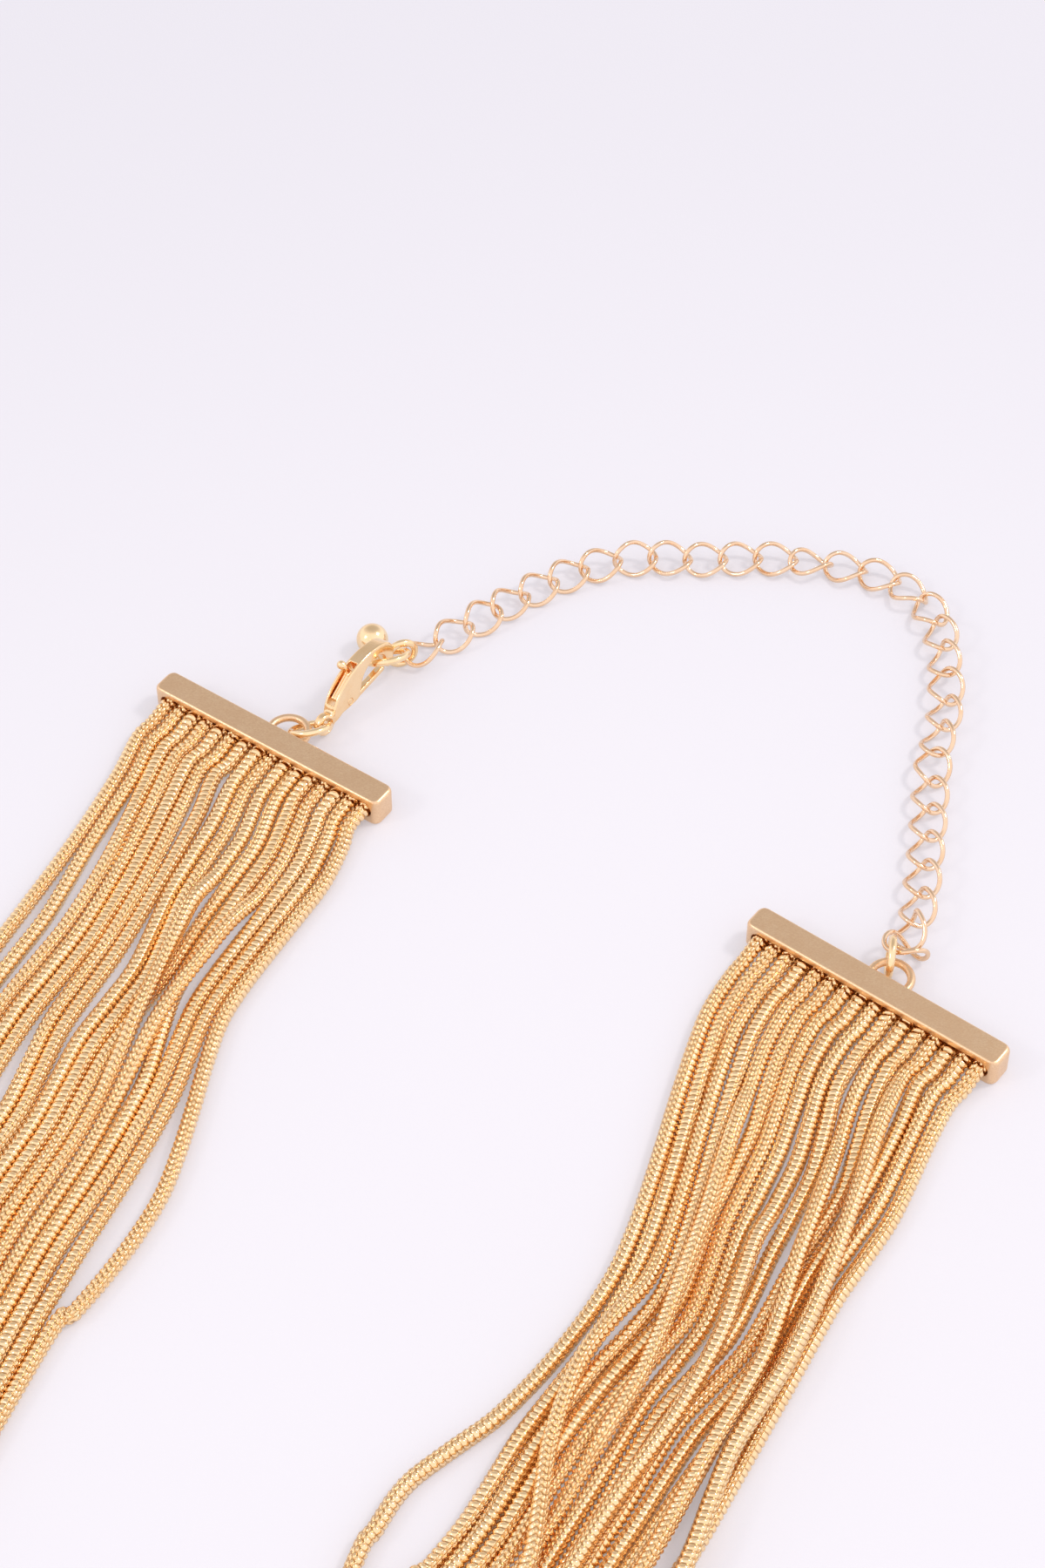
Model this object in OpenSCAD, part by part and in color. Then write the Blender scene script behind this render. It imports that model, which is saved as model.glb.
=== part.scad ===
// Multi strand choker: sixteen round snake chains between two slotted end bars,
// fastened with a lobster clasp to a chain of twisted links, lying flat on a table.
// Millimetres, +Z up, the table is z = 0, the view from the front looks along +Y.

/* [End bars] */
// Length of each end bar
bar_length = 30; // [29.9:0.1:31]
// Width of each end bar, seen from above
bar_width = 3.1; // [3.1:0.05:3.3]
// Height of each end bar
bar_height = 3.5; // [3.4:0.05:3.6]
// Radius of the bars' rounded corners, seen from above
bar_corner = 0.6; // [0.4:0.05:0.8]
// Radius of the bars' rounded long edges
bar_edge = 0.35; // [0.2:0.05:0.5]
// Height of the slot that takes the strands
slot_height = 1.95; // [1.8:0.05:2.1]
// Thickness of the metal at each end of the slot
slot_end_wall = 0.75; // [0.7:0.05:0.8]
// Depth of the slot
slot_depth = 2.4; // [2.4:0.05:2.5]
// Wire of the fixed half loop on each bar
loop_wire = 0.85; // [0.8:0.05:0.9]

/* [Strands] */
// Diameter of one snake chain
strand_d = 1.45; // [1.3:0.05:1.45]
// Distance between the strands inside a slot
slot_pitch = 1.75; // [1.7:0.01:1.75]
// Distance between the strands where they run side by side at the back of the neck
nape_pitch = 1.75; // [1.7:0.01:1.8]
// Radius of the middle of the bundle where it turns round the front of the neck
nape_radius = 32; // [31.5:0.5:32.5]

/* [Extender chain] */
// Outer length of one link
link_length = 5.24; // [5.2:0.01:5.26]
// Outer width of one link
link_width = 4.2; // [4.1:0.05:4.3]
// Wire of one link
link_wire = 0.5; // [0.42:0.01:0.5]
// How far each end of a link is twisted out of the link's middle
link_twist = 45; // [40:1:50]

/* [Rings and ball] */
// Wire of the four rings
ring_wire = 0.8; // [0.7:0.05:0.8]
// Diameter of the ball on the end of the chain
ball_d = 3.5; // [3.3:0.1:3.5]

/* [Clasp] */
// Thickness of the clasp's body
clasp_thick = 1.7; // [1.65:0.05:1.8]
// Thickness of the clasp's lever
lever_thick = 0.85; // [0.8:0.05:0.85]
// Diameter of the pin that the lever turns on
pin_d = 0.8; // [0.7:0.05:0.8]

/* [Hidden] */

gold = [0.85, 0.66, 0.38];
pale_gold = [0.93, 0.79, 0.60];
satin_gold = [0.77, 0.63, 0.47];

// The middle of the laid out necklace, so that the part stands over its own origin
lay_middle = [-19.4, -62.4, 0];

// Each end bar: x, y of its middle, and the heading of its length
left_bar = [-26.6, 3.7, -35];
right_bar = [35.3, -29.9, -37.5];
slot_length = bar_length - 2 * slot_end_wall;
slot_z = bar_height / 2;

// The fixed half loop: radius of its wire's middle and length of its straight legs
loop_radius = 2.1;
loop_leg = 1.15;

strand_count = 16;
strand_sides = 8;
strand_z = strand_d / 2;
slot_gap = 0.1;
exit_run = 0.3;
exit_mid = 2.7;
exit_mid_z = 1.15;
cross_lift = 1.65;

// Where each strand lies across the bundle, measured from the middle of the left bar.
// Columns: distance out from the bar, then strands 1 to 16 from the outside of the loop.
left_lanes = [
    [5, -13.2, -11.5, -9.8, -8.1, -6.4, -4.7, -2.9, -0.6, 1.2, 3.0, 4.9, 6.8, 8.6, 10.4, 12.2, 14.1],
    [10, -11.6, -9.9, -8.2, -6.5, -4.8, -3.1, -1.0, 1.0, 2.9, 4.8, 6.7, 8.5, 10.3, 12.0, 13.7, 15.5],
    [20, -9.3, -7.6, -4.9, -3.25, -1.6, 0.05, 1.7, 3.35, 5.05, 6.65, 8.2, 10.0, 11.6, 13.25, 14.9, 16.5],
    [30, -7.6, -5.0, -2.5, -0.85, 0.8, 2.45, 4.1, 6.7, 8.45, 9.8, 10.05, 12.0, 12.6, 14.6, 16.3, 18.0],
    [40, -5.9, -3.6, -1.4, 0.3, 2.0, 4.1, 5.8, 8.0, 9.65, 13.0, 11.35, 16.4, 14.75, 18.1, 19.9, 22.4],
    [50, -3.5, -1.3, 0.8, 2.5, 4.2, 7.4, 9.1, 10.75, 12.4, 15.65, 14.05, 19.0, 17.35, 20.7, 22.4, 26.5],
    [60, -0.5, 1.5, 3.5, 5.2, 6.9, 9.2, 10.85, 12.5, 14.15, 17.45, 15.8, 20.75, 19.1, 22.4, 24.3, 28.0],
    [70, 2.4, 4.2, 6.1, 7.8, 9.5, 11.4, 13.1, 14.8, 16.45, 19.75, 18.1, 23.1, 21.4, 24.8, 26.5, 28.2],
];
// The same for the right bar. Columns: distance out, then slots 1 to 16 from the inside of the loop.
right_lanes = [
    [5, -13.1, -11.4, -9.7, -8.0, -6.3, -4.6, -2.9, -1.1, 0.7, 2.5, 4.2, 5.9, 7.6, 9.3, 11.1, 12.9],
    [10, -12.3, -10.6, -8.9, -7.1, -5.3, -3.6, -1.9, -0.2, 1.5, 3.2, 5.2, 7.1, 8.8, 10.5, 12.1, 13.8],
    [20, -8.7, -7.0, -5.3, -3.5, -1.9, -0.2, 1.5, 3.15, 5.2, 7.1, 8.8, 10.45, 12.1, 12.4, 14.2, 16.0],
    [30, -4.7, -3.0, -1.3, 0.4, 1.9, 2.15, 3.85, 5.55, 7.4, 9.2, 12.0, 11.6, 15.3, 13.3, 15.0, 16.8],
    [40, -1.4, 0.3, 1.95, 3.6, 5.2, 5.35, 7.05, 8.75, 10.8, 11.3, 15.4, 13.3, 17.6, 15.0, 16.7, 18.4],
    [50, -0.2, 1.8, 2.3, 3.5, 8.0, 5.2, 6.9, 9.2, 12.6, 11.0, 17.0, 12.9, 18.8, 14.8, 16.8, 20.0],
    [60, -0.6, 2.45, 5.7, 4.15, 9.1, 5.75, 7.4, 10.8, 13.4, 12.5, 18.8, 14.2, 21.7, 15.9, 17.6, 21.5],
    [70, -2.7, 3.9, 11.2, 5.5, 10.5, 7.2, 8.8, 12.2, 14.8, 13.9, 20.6, 15.6, 24.2, 17.3, 19.0, 22.4],
    [80, -1.0, 4.0, 12.5, 5.7, 10.8, 7.4, 9.1, 14.2, 17.6, 15.9, 24.4, 19.3, 27.8, 21.0, 22.7, 26.1],
];
// Strands that cross over their neighbours.
// Columns: strand or slot, start and end of the rise, start and end of the descent.
left_lifts = [[10, 15, 21, 37, 43], [13, 15, 21, 37, 43]];
right_lifts = [
    [3, 37, 43, 79, 87], [5, 16, 22, 54, 60], [9, 26, 32, 79, 87],
    [11, 15, 21, 79, 87], [13, 6, 12, 79, 87],
];
// For strands 1 to 16: the lane in the turn round the neck, 1 on the outside, and the right bar's slot
turn_lane = [1, 2, 3, 4, 5, 6, 7, 8, 9, 11, 10, 13, 12, 14, 15, 16];
right_slot = [13, 16, 11, 15, 14, 12, 9, 10, 8, 5, 3, 6, 7, 4, 2, 1];
// The turn round the neck: its middle, and the directions in which it starts and ends
turn_middle = [-41, -114];
turn_start = 160;
turn_end = 335;
turn_steps = 10;
station_step = 5;

// Route of the extender chain, from the ring at the clasp to the last link but two
chain_route = [
    [-12.5, 17.5], [-9.5, 19.4], [-7.1, 21.2], [-4.4, 23.4], [-1.4, 25.9], [2, 28.4],
    [6.1, 30.9], [10, 32.1], [14, 32.8], [18, 32.6], [22, 32.6], [26, 33], [30.2, 32.6],
    [34, 32.2], [38, 31.1], [41.8, 29.3], [44.5, 26.4], [45.8, 22.8], [46.1, 18.8],
    [46, 15.5], [46, 12.2], [45.4, 8.3], [44.2, 4.6], [43.4, 0.4], [42.8, -4],
    [42.2, -8.4], [41.6, -12.4], [40.9, -16.4], [40.1, -20.3],
];
// How far each link on the route is rolled over, in degrees
link_rolls = [
    -15, 20, 35, 15, 20, 20, 20, 40, 25, 25, 20, 20, -10, 5,
    12, -5, 10, 25, 35, 10, 20, 30, 0, 10, 15, 20, 20, 25,
];
// The last two links. Columns: start x, y, z, end x, y, z, roll.
last_links = [
    [40, -19.75, 1.85, 38.85, -23.5, 1.45, 40],
    [40.55, -24.55, 1.4, 36.95, -23.45, 2.55, 38],
];
link_steps = 12;
link_sides = 5;
route_steps = 8;

// The rings. Columns: x, y, z of the middle, tilt and heading of the axis, radius of the wire's middle.
ring_a_place = [-14.75, 15.97, 2.93, 32.6, 108.4, 2.27];
ring_b_place = [-13.21, 17.53, 1.9, 91.3, 111.1, 1.49];
ring_c_place = [-22.75, 6.17, 1.96, 35, 107.5, 2.11];
ring_d_place = [37.05, -25.6, 2.36, 93, -8, 1.95];
ball_place = [-16.49, 19.82, 1.76];
ball_loop_place = [-15.92, 17.51, 1.77, 94.9, 15.1, 0.8];
ball_loop_wire = 0.5;

// The clasp lies on its edge: the middle of its tail eye, and its roll, pitch and heading
clasp_place = [-21.32, 7.36, 1.44];
clasp_turn = [79.6, -12.2, 54.4];
eye_radius = 1.3;
eye_hole_d = 1.55;
eye_thick = 1.1;
neck_thick = 1.4;
pivot = [3.8, -0.1];
slot_start = 1.8;
slot_stop = 6.8;
slot_reach = 3;
slot_wide = lever_thick + 0.2;
pin_play = 0.05;
pin_fit = 0.01;
pivot_boss_d = 1.5;

// The lever's corners in the clasp's own plane: thumb side, back, knob, heel and tip of the gate
lever_elbow = [5.8, 2.1];
lever_back = [2.77, 1.22];
knob_middle = [5.55, 3.6];
knob_aside = -0.4;
gate_heel = [4.65, -0.95];
gate_tip = [9.6, -1.4];
arm_wide = 0.7;
stem_wide = 0.5;
heel_wide = 0.8;
gate_wide = 0.6;
knob_d = 1;

// Outer width of the neck between the eye and the body, where it starts and stops
neck = [0.6, 1.6, 1.3];

// Outline of the clasp's body, from the tail eye's middle along the clasp: tail side of the neck,
// belly, mouth, tip of the hook, top of the hook and back
clasp_outline = [
    [1.1, -0.5], [2.15, -0.55], [3.4, -0.85], [4.75, -1.05], [5.45, -0.85], [5.75, -0.35],
    [6.3, 0.4], [7, 1], [8.05, 1.35], [9.05, 1.3], [9.85, 0.9], [10.3, 0.2],
    [10.35, -0.5], [10.1, -1.05], [10.1, -1.6], [10.8, -1.6], [11.5, -1], [11.9, -0.1],
    [11.7, 1], [10.7, 1.9], [9.25, 2.45], [7.7, 2.75], [6.2, 2.8], [4.65, 2.6],
    [3.2, 2.15], [2.05, 1.5], [1.1, 0.55],
];
outline_steps = 4;

function unit(v) = v / norm(v);
function two_digits(n) = n < 10 ? str("0", n) : str(n);

// One point of a smooth curve through four neighbouring points, t from 0 to 1
function curve_point(a, b, c, d, t) =
    0.5 * ((2 * b) + (c - a) * t + (2 * a - 5 * b + 4 * c - d) * t * t
        + (3 * b - a - 3 * c + d) * t * t * t);
function open_curve(p, steps) = [
    for (i = [0:len(p) - 2]) for (k = [0:steps - 1])
        curve_point(p[max(i - 1, 0)], p[i], p[i + 1], p[min(i + 2, len(p) - 1)], k / steps),
    p[len(p) - 1],
];
function closed_curve(p, steps) = [
    for (i = [0:len(p) - 1]) for (k = [0:steps - 1])
        curve_point(p[(i + len(p) - 1) % len(p)], p[i], p[(i + 1) % len(p)],
            p[(i + 2) % len(p)], k / steps),
];

// Rows of a table read as smooth functions of their first column
function row_before(rows, v) = max([0, for (i = [1:len(rows) - 2]) if (rows[i][0] <= v) i]);
function row_slope(rows, i, k) =
    let (a = max(i - 1, 0), b = min(i + 1, len(rows) - 1))
    (rows[b][k] - rows[a][k]) / (rows[b][0] - rows[a][0]);
function read_lane(rows, k, v) =
    let (
        i = row_before(rows, v),
        w = rows[i + 1][0] - rows[i][0],
        t = (v - rows[i][0]) / w,
        p = rows[i][k],
        q = rows[i + 1][k],
        m = row_slope(rows, i, k) * w,
        n = row_slope(rows, i + 1, k) * w
    )
    p + m * t + (3 * (q - p) - 2 * m - n) * t * t + (2 * (p - q) + m + n) * t * t * t;

function ramp(v, from, to) =
    let (t = min(max((v - from) / (to - from), 0), 1))
    t * t * (3 - 2 * t);
function lift_at(lifts, k, v) = max([0, for (r = lifts) if (r[0] == k)
    cross_lift * ramp(v, r[1], r[2]) * (1 - ramp(v, r[3], r[4]))]);

// A place beside a bar: u along the bar, v out from its slotted side
function beside(bar, u, v, z) =
    let (a = [cos(bar[2]), sin(bar[2])], out = v + bar_width / 2)
    [bar[0] + a.x * u + a.y * out, bar[1] + a.y * u - a.x * out, z];
function in_slot(bar, u) = [
    beside(bar, u, slot_gap - slot_depth, slot_z),
    beside(bar, u, exit_run, slot_z - 0.05),
    beside(bar, u, exit_mid, exit_mid_z),
];
function across(slot) = (slot - (strand_count + 1) / 2) * slot_pitch;
function fan(bar, rows, lifts, k) = [
    for (v = [rows[0][0]:station_step:rows[len(rows) - 1][0]])
        beside(bar, read_lane(rows, k, v), v, strand_z + lift_at(lifts, k, v)),
];
function turn_point(lane, a) =
    let (r = nape_radius + ((strand_count + 1) / 2 - lane) * nape_pitch)
    [turn_middle.x + r * cos(a), turn_middle.y + r * sin(a), strand_z];
function reversed(p) = [for (i = [len(p) - 1:-1:0]) p[i]];
function strand_route(k) = concat(
    in_slot(left_bar, across(k)),
    fan(left_bar, left_lanes, left_lifts, k),
    [for (i = [0:turn_steps])
        turn_point(turn_lane[k - 1], turn_start + (turn_end - turn_start) * i / turn_steps)],
    reversed(concat(
        in_slot(right_bar, across(right_slot[k - 1])),
        fan(right_bar, right_lanes, right_lifts, right_slot[k - 1])
    ))
);

// A ring of corners round each point of a route, level and without twist
function tube_points(p, r, sides) = [
    for (i = [0:len(p) - 1])
        let (
            t = unit(p[min(i + 1, len(p) - 1)] - p[max(i - 1, 0)]),
            side = unit(cross([0, 0, 1], t)),
            up = cross(t, side)
        )
        for (k = [0:sides - 1])
            p[i] - r * (side * sin(360 * k / sides) + up * cos(360 * k / sides)),
];
function wall_faces(rings, sides, closed) = [
    for (i = [0:rings - (closed ? 1 : 2)]) for (k = [0:sides - 1])
        let (
            a = i * sides + k,
            b = i * sides + (k + 1) % sides,
            c = ((i + 1) % rings) * sides
        )
        for (f = [[a, b, c + k], [b, c + (k + 1) % sides, c + k]]) f,
];
module tube(p, r, sides) {
    last = (len(p) - 1) * sides;
    polyhedron(
        points = tube_points(p, r, sides),
        faces = concat(
            wall_faces(len(p), sides, false),
            [[for (k = [sides - 1:-1:0]) k], [for (k = [0:sides - 1]) last + k]]
        )
    );
}

// One link: an oval of wire whose ends are twisted out of its middle
link_a = (link_length - link_wire) / 2;
link_b = (link_width - link_wire) / 2;
function link_middle(t) =
    let (turn = -link_twist * cos(t), y = link_b * sin(t))
    [link_a * cos(t), y * cos(turn), y * sin(turn)];
function link_points() = [
    for (i = [0:link_steps - 1])
        let (
            a = 360 * i / link_steps,
            t = unit(link_middle(a + 1) - link_middle(a - 1)),
            side = unit(cross(t, [0, 0, 1])),
            up = cross(side, t)
        )
        for (k = [0:link_sides - 1])
            link_middle(a) + link_wire / 2
                * (side * cos(360 * k / link_sides) + up * sin(360 * k / link_sides)),
];
// Height of a rolled link's middle over the table when its wire touches it
function link_rest(roll) = link_wire / 2 - min([
    for (a = [0:10:350])
        let (p = link_middle(a))
        p.y * sin(roll) + p.z * cos(roll),
]);
module link(start, end, roll) {
    along = unit(end - start);
    level = unit(cross([0, 0, 1], along));
    upright = cross(along, level);
    side = level * cos(roll) + upright * sin(roll);
    up = upright * cos(roll) - level * sin(roll);
    polyhedron(
        points = [for (p = link_points())
            (start + end) / 2 + along * p.x + side * p.y + up * p.z],
        faces = wall_faces(link_steps, link_sides, true)
    );
}

// Places where the links of the route meet, at equal steps along it
chain_curve = open_curve(chain_route, route_steps);
chain_reach = [
    for (i = 0, s = 0; i < len(chain_curve); i = i + 1,
        s = i < len(chain_curve) ? s + norm(chain_curve[i] - chain_curve[i - 1]) : s) s,
];
link_count = len(link_rolls);
link_rests = [for (r = link_rolls) link_rest(r)];
function chain_joint(i) =
    let (
        s = chain_reach[len(chain_reach) - 1] * i / link_count,
        z = max(link_rests[max(i - 1, 0)], link_rests[min(i, link_count - 1)])
    )
    [
        lookup(s, [for (k = [0:len(chain_curve) - 1]) [chain_reach[k], chain_curve[k].x]]),
        lookup(s, [for (k = [0:len(chain_curve) - 1]) [chain_reach[k], chain_curve[k].y]]),
        z,
    ];

module at_bar(bar) {
    translate([bar[0], bar[1], 0])
        rotate(bar[2])
            children();
}

module round_rect(w, h, r) {
    square([w - 2 * r, h], center = true);
    square([w, h - 2 * r], center = true);
    for (x = [-1, 1]) for (y = [-1, 1])
        translate([x * (w / 2 - r), y * (h / 2 - r)])
            circle(r = r, $fn = 32);
}

module bar_blank() {
    intersection() {
        linear_extrude(bar_height)
            round_rect(bar_length, bar_width, bar_corner);
        translate([-bar_length / 2, 0, bar_height / 2])
            rotate([90, 0, 90])
                linear_extrude(bar_length)
                    round_rect(bar_width, bar_height, bar_edge);
    }
}

module bar_slot() {
    translate([0, slot_depth - bar_width / 2, slot_z])
        rotate([90, 0, 0])
            linear_extrude(slot_depth + 1)
                round_rect(slot_length, slot_height, slot_height / 2 - 0.01);
}

module half_loop() {
    sunk = 0.2;
    translate([0, bar_width / 2, slot_z]) {
        translate([0, loop_leg, 0])
            rotate_extrude(angle = 180, $fn = 64)
                translate([loop_radius, 0])
                    circle(d = loop_wire, $fn = 32);
        for (x = [-loop_radius, loop_radius])
            translate([x, -sunk, 0])
                rotate([-90, 0, 0])
                    cylinder(h = loop_leg + sunk, d = loop_wire, $fn = 32);
    }
}

module end_bar(bar) {
    at_bar(bar) {
        difference() {
            bar_blank();
            bar_slot();
        }
        half_loop();
    }
}

module ring(place, wire) {
    translate([place[0], place[1], place[2]])
        rotate([0, place[3], place[4]])
            rotate_extrude($fn = 64)
                translate([place[5], 0])
                    circle(d = wire, $fn = 32);
}

// A round ended strip of the clasp between two points of its outline's plane
module strip(p, q, wide, thick) {
    run = q - p;
    for (c = [p, q])
        translate([c.x, c.y, -thick / 2])
            cylinder(h = thick, d = wide, $fn = 32);
    translate([p.x, p.y, 0])
        rotate(atan2(run.y, run.x))
            translate([0, -wide / 2, -thick / 2])
                cube([norm(run), wide, thick]);
}

module at_clasp() {
    translate(clasp_place)
        rotate(clasp_turn)
            children();
}

module pin_hole(d, long) {
    translate([pivot.x, pivot.y, -long / 2])
        cylinder(h = long, d = d, $fn = 32);
}

module laid_out() {
    translate(-lay_middle)
        children();
}

module bar_left() {
    color(satin_gold)
        laid_out()
            end_bar(left_bar);
}

module bar_right() {
    color(satin_gold)
        laid_out()
            end_bar(right_bar);
}

module strand(k) {
    color(gold)
        laid_out()
            tube(strand_route(k), strand_d / 2, strand_sides);
}

module extender_chain() {
    color(pale_gold)
        laid_out() {
            for (i = [0:link_count - 1])
                link(chain_joint(i), chain_joint(i + 1), link_rolls[i]);
            for (r = last_links)
                link([r[0], r[1], r[2]], [r[3], r[4], r[5]], r[6]);
        }
}

module ring_a() {
    color(gold)
        laid_out()
            ring(ring_a_place, ring_wire);
}

module ring_b() {
    color(gold)
        laid_out()
            ring(ring_b_place, ring_wire);
}

module ring_c() {
    color(gold)
        laid_out()
            ring(ring_c_place, ring_wire);
}

module ring_d() {
    color(gold)
        laid_out()
            ring(ring_d_place, ring_wire);
}

module end_ball() {
    color(gold)
        laid_out() {
            translate(ball_place)
                sphere(d = ball_d, $fn = 64);
            ring(ball_loop_place, ball_loop_wire);
        }
}

module clasp_body() {
    color(gold)
        laid_out()
            at_clasp()
                difference() {
                    union() {
                        translate([0, 0, -clasp_thick / 2])
                            linear_extrude(clasp_thick)
                                polygon(closed_curve(clasp_outline, outline_steps));
                        strip([neck[0], 0], [neck[1], 0], neck[2], neck_thick);
                        translate([0, 0, -eye_thick / 2])
                            cylinder(h = eye_thick, r = eye_radius, $fn = 48);
                    }
                    translate([0, 0, -eye_thick])
                        cylinder(h = 2 * eye_thick, d = eye_hole_d, $fn = 48);
                    translate([slot_start, -slot_reach, -slot_wide / 2])
                        cube([slot_stop - slot_start, 2 * slot_reach, slot_wide]);
                    pin_hole(pin_d + 2 * pin_fit, clasp_thick + 1);
                }
}

module clasp_lever() {
    color(gold)
        laid_out()
            at_clasp()
                difference() {
                    union() {
                        strip(pivot, lever_elbow, arm_wide, lever_thick);
                        strip(lever_back, lever_elbow, arm_wide, lever_thick);
                        strip(pivot, lever_back, arm_wide, lever_thick);
                        strip(lever_elbow, knob_middle, stem_wide, lever_thick / 2);
                        strip(pivot, gate_heel, heel_wide, lever_thick);
                        strip(gate_heel, gate_tip, gate_wide, lever_thick);
                        translate([pivot.x, pivot.y, -lever_thick / 2])
                            cylinder(h = lever_thick, d = pivot_boss_d, $fn = 48);
                        translate([knob_middle.x, knob_middle.y, knob_aside])
                            sphere(d = knob_d, $fn = 48);
                    }
                    pin_hole(pin_d + 2 * pin_play, lever_thick + 1);
                }
}

module clasp_pin() {
    color(gold)
        laid_out()
            at_clasp()
                pin_hole(pin_d, clasp_thick);
}

bar_left();
bar_right();
for (k = [1:strand_count])
    strand(k);
extender_chain();
ring_a();
ring_b();
ring_c();
ring_d();
end_ball();
clasp_body();
clasp_lever();
clasp_pin();
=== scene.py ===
"""Looks of the choker: snake chains, slotted end bars, lobster clasp, rings and extender chain.

All places are worked out in millimetres on the table that the choker lies on, with the same numbers
as the solids. put() shifts them to the middle of the laid out choker, in metres.
"""
import math

import bpy
import numpy as np
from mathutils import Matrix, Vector


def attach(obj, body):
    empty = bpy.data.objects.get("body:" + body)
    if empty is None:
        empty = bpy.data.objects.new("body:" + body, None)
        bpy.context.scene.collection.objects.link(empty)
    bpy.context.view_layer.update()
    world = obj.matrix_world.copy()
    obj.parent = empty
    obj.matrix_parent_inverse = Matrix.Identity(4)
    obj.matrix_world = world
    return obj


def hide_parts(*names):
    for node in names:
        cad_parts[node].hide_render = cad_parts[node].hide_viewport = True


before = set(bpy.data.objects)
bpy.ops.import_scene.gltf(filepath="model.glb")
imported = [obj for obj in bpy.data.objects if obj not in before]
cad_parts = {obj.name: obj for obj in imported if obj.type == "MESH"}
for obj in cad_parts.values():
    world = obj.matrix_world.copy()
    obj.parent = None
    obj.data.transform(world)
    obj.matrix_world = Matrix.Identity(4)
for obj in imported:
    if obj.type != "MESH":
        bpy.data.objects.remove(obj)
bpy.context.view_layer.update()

TAU = 2 * math.pi
# Middle of the laid out choker's footprint on the table
LAY_MIDDLE = np.array([-19.4, -62.4, 0.0])

# End bars: x and y of the middle, heading of the length in degrees
BARS = {"left": (-26.6, 3.7, -35.0), "right": (35.3, -29.9, -37.5)}
BAR_LONG, BAR_WIDE, BAR_HIGH = 30.0, 3.1, 3.5
SLOT_LONG, SLOT_HIGH, SLOT_DEEP = 28.2, 1.95, 2.4
SLOT_Z = BAR_HIGH / 2
# Half loop on a bar's back: radius, straight legs, depth sunk into the bar, diameter of the wire
LOOP_R, LOOP_LEG, LOOP_SUNK, LOOP_WIRE = 2.1, 1.15, 0.3, 0.85

# Strands: radius, and the height of the middle that keeps the proudest bead clear of the table
STRANDS = 16
STRAND_R = 0.85
STRAND_Z = 0.91
SLOT_PITCH = 1.75
# The first three points of a strand: distance out from the bar's mouth, and height
START_OUT = np.array([0.1 - SLOT_DEEP, 0.3, 2.7])
START_Z = np.array([SLOT_Z, SLOT_Z - 0.05, 1.15])
# Distance between the next points, and steps of the curve from point to point
LANE_STEP = 5.0
ROUTE_STEPS = 24
# Rise of a strand over the neighbours that it crosses
CROSS_LIFT = 1.65

# Across the bundle against distance out from the left bar: distance, then strands 1 to 16
LEFT_LANES = np.array([
    [5, -13.2, -11.5, -9.8, -8.1, -6.4, -4.7, -2.9, -0.6, 1.2, 3.0, 4.9, 6.8, 8.6, 10.4, 12.2, 14.1],
    [10, -11.6, -9.9, -8.2, -6.5, -4.8, -3.1, -1.0, 1.0, 2.9, 4.8, 6.7, 8.5, 10.3, 12.0, 13.7, 15.5],
    [20, -9.3, -7.6, -4.9, -3.25, -1.6, 0.05, 1.7, 3.35, 5.05, 6.65, 8.2, 10.0, 11.6, 13.25, 14.9, 16.5],
    [30, -7.6, -5.0, -2.5, -0.85, 0.8, 2.45, 4.1, 6.7, 8.45, 9.8, 10.05, 12.0, 12.6, 14.6, 16.3, 18.0],
    [40, -5.9, -3.6, -1.4, 0.3, 2.0, 4.1, 5.8, 8.0, 9.65, 13.0, 11.35, 16.4, 14.75, 18.1, 19.9, 22.4],
    [50, -3.5, -1.3, 0.8, 2.5, 4.2, 7.4, 9.1, 10.75, 12.4, 15.65, 14.05, 19.0, 17.35, 20.7, 22.4, 26.5],
    [60, -0.5, 1.5, 3.5, 5.2, 6.9, 9.2, 10.85, 12.5, 14.15, 17.45, 15.8, 20.75, 19.1, 22.4, 24.3, 28.0],
    [70, 2.4, 4.2, 6.1, 7.8, 9.5, 11.4, 13.1, 14.8, 16.45, 19.75, 18.1, 23.1, 21.4, 24.8, 26.5, 28.2],
])
# The same for the right bar: distance, then slots 1 to 16
RIGHT_LANES = np.array([
    [5, -13.1, -11.4, -9.7, -8.0, -6.3, -4.6, -2.9, -1.1, 0.7, 2.5, 4.2, 5.9, 7.6, 9.3, 11.1, 12.9],
    [10, -12.3, -10.6, -8.9, -7.1, -5.3, -3.6, -1.9, -0.2, 1.5, 3.2, 5.2, 7.1, 8.8, 10.5, 12.1, 13.8],
    [20, -8.7, -7.0, -5.3, -3.5, -1.9, -0.2, 1.5, 3.15, 5.2, 7.1, 8.8, 10.45, 12.1, 12.4, 14.2, 16.0],
    [30, -4.7, -3.0, -1.3, 0.4, 1.9, 2.15, 3.85, 5.55, 7.4, 9.2, 12.0, 11.6, 15.3, 13.3, 15.0, 16.8],
    [40, -1.4, 0.3, 1.95, 3.6, 5.2, 5.35, 7.05, 8.75, 10.8, 11.3, 15.4, 13.3, 17.6, 15.0, 16.7, 18.4],
    [50, -0.2, 1.8, 2.3, 3.5, 8.0, 5.2, 6.9, 9.2, 12.6, 11.0, 17.0, 12.9, 18.8, 14.8, 16.8, 20.0],
    [60, -0.6, 2.45, 5.7, 4.15, 9.1, 5.75, 7.4, 10.8, 13.4, 12.5, 18.8, 14.2, 21.7, 15.9, 17.6, 21.5],
    [70, -2.7, 3.9, 11.2, 5.5, 10.5, 7.2, 8.8, 12.2, 14.8, 13.9, 20.6, 15.6, 24.2, 17.3, 19.0, 22.4],
    [80, -1.0, 4.0, 12.5, 5.7, 10.8, 7.4, 9.1, 14.2, 17.6, 15.9, 24.4, 19.3, 27.8, 21.0, 22.7, 26.1],
])
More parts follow.
